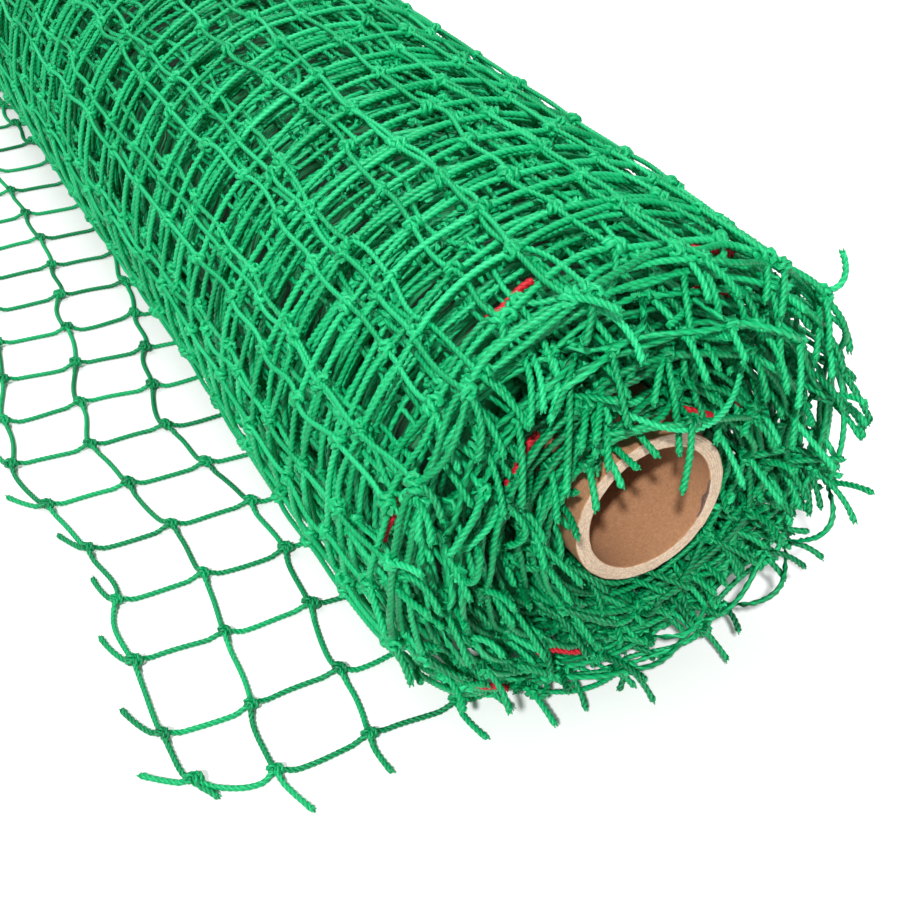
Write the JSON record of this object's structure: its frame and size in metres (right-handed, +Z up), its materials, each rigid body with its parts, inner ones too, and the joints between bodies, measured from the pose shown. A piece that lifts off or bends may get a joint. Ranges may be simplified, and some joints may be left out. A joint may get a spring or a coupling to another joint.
{
  "type": "rolled climbing net",
  "caption": "Roll of green knotted square-mesh twine net on a cardboard tube, its loose cut edge lying flat beside it; stock for climbing, cargo and ball-stop nets.",
  "frame": {"origin": "on the floor, under the middle of the bounding box", "axes": "+Y along the roll's axis, from the end with the metre marks to the other; the loose end of the net lies towards -X; +Z up"},
  "size_m": [0.2846, 1.035, 0.1978],
  "materials": {
    "green_twine": "satin",
    "cardboard": "matte",
    "red_cord": "satin"
  },
  "bodies": {
    "root": {"core_tube": "cardboard", "wound_net": "green_twine", "near_cut_ends": "green_twine", "far_cut_ends": "green_twine", "loose_cross_twine_1": "green_twine", "loose_cross_twine_2": "green_twine", "loose_cross_twine_3": "green_twine", "loose_cross_twine_4": "green_twine", "loose_length_twine_01": "green_twine", "loose_length_twine_02": "green_twine", "loose_length_twine_03": "green_twine", "loose_length_twine_04": "green_twine", "loose_length_twine_05": "green_twine", "loose_length_twine_06": "green_twine", "loose_length_twine_07": "green_twine", "loose_length_twine_08": "green_twine", "loose_length_twine_09": "green_twine", "loose_length_twine_10": "green_twine", "loose_length_twine_11": "green_twine", "loose_length_twine_12": "green_twine", "loose_length_twine_13": "green_twine", "loose_length_twine_14": "green_twine", "loose_length_twine_15": "green_twine", "loose_length_twine_16": "green_twine", "loose_length_twine_17": "green_twine", "loose_length_twine_18": "green_twine", "loose_length_twine_19": "green_twine", "loose_length_twine_20": "green_twine", "loose_length_twine_21": "green_twine", "loose_length_twine_22": "green_twine", "loose_length_twine_23": "green_twine", "loose_length_twine_24": "green_twine", "loose_length_twine_25": "green_twine", "loose_length_twine_26": "green_twine", "loose_length_twine_27": "green_twine", "metre_mark_1": "red_cord", "metre_mark_2": "red_cord", "metre_mark_3": "red_cord", "metre_mark_4": "red_cord", "metre_mark_5": "red_cord", "metre_mark_6": "red_cord", "metre_mark_7": "red_cord", "metre_mark_8": "red_cord", "metre_mark_9": "red_cord"}
  },
  "joints": []
}
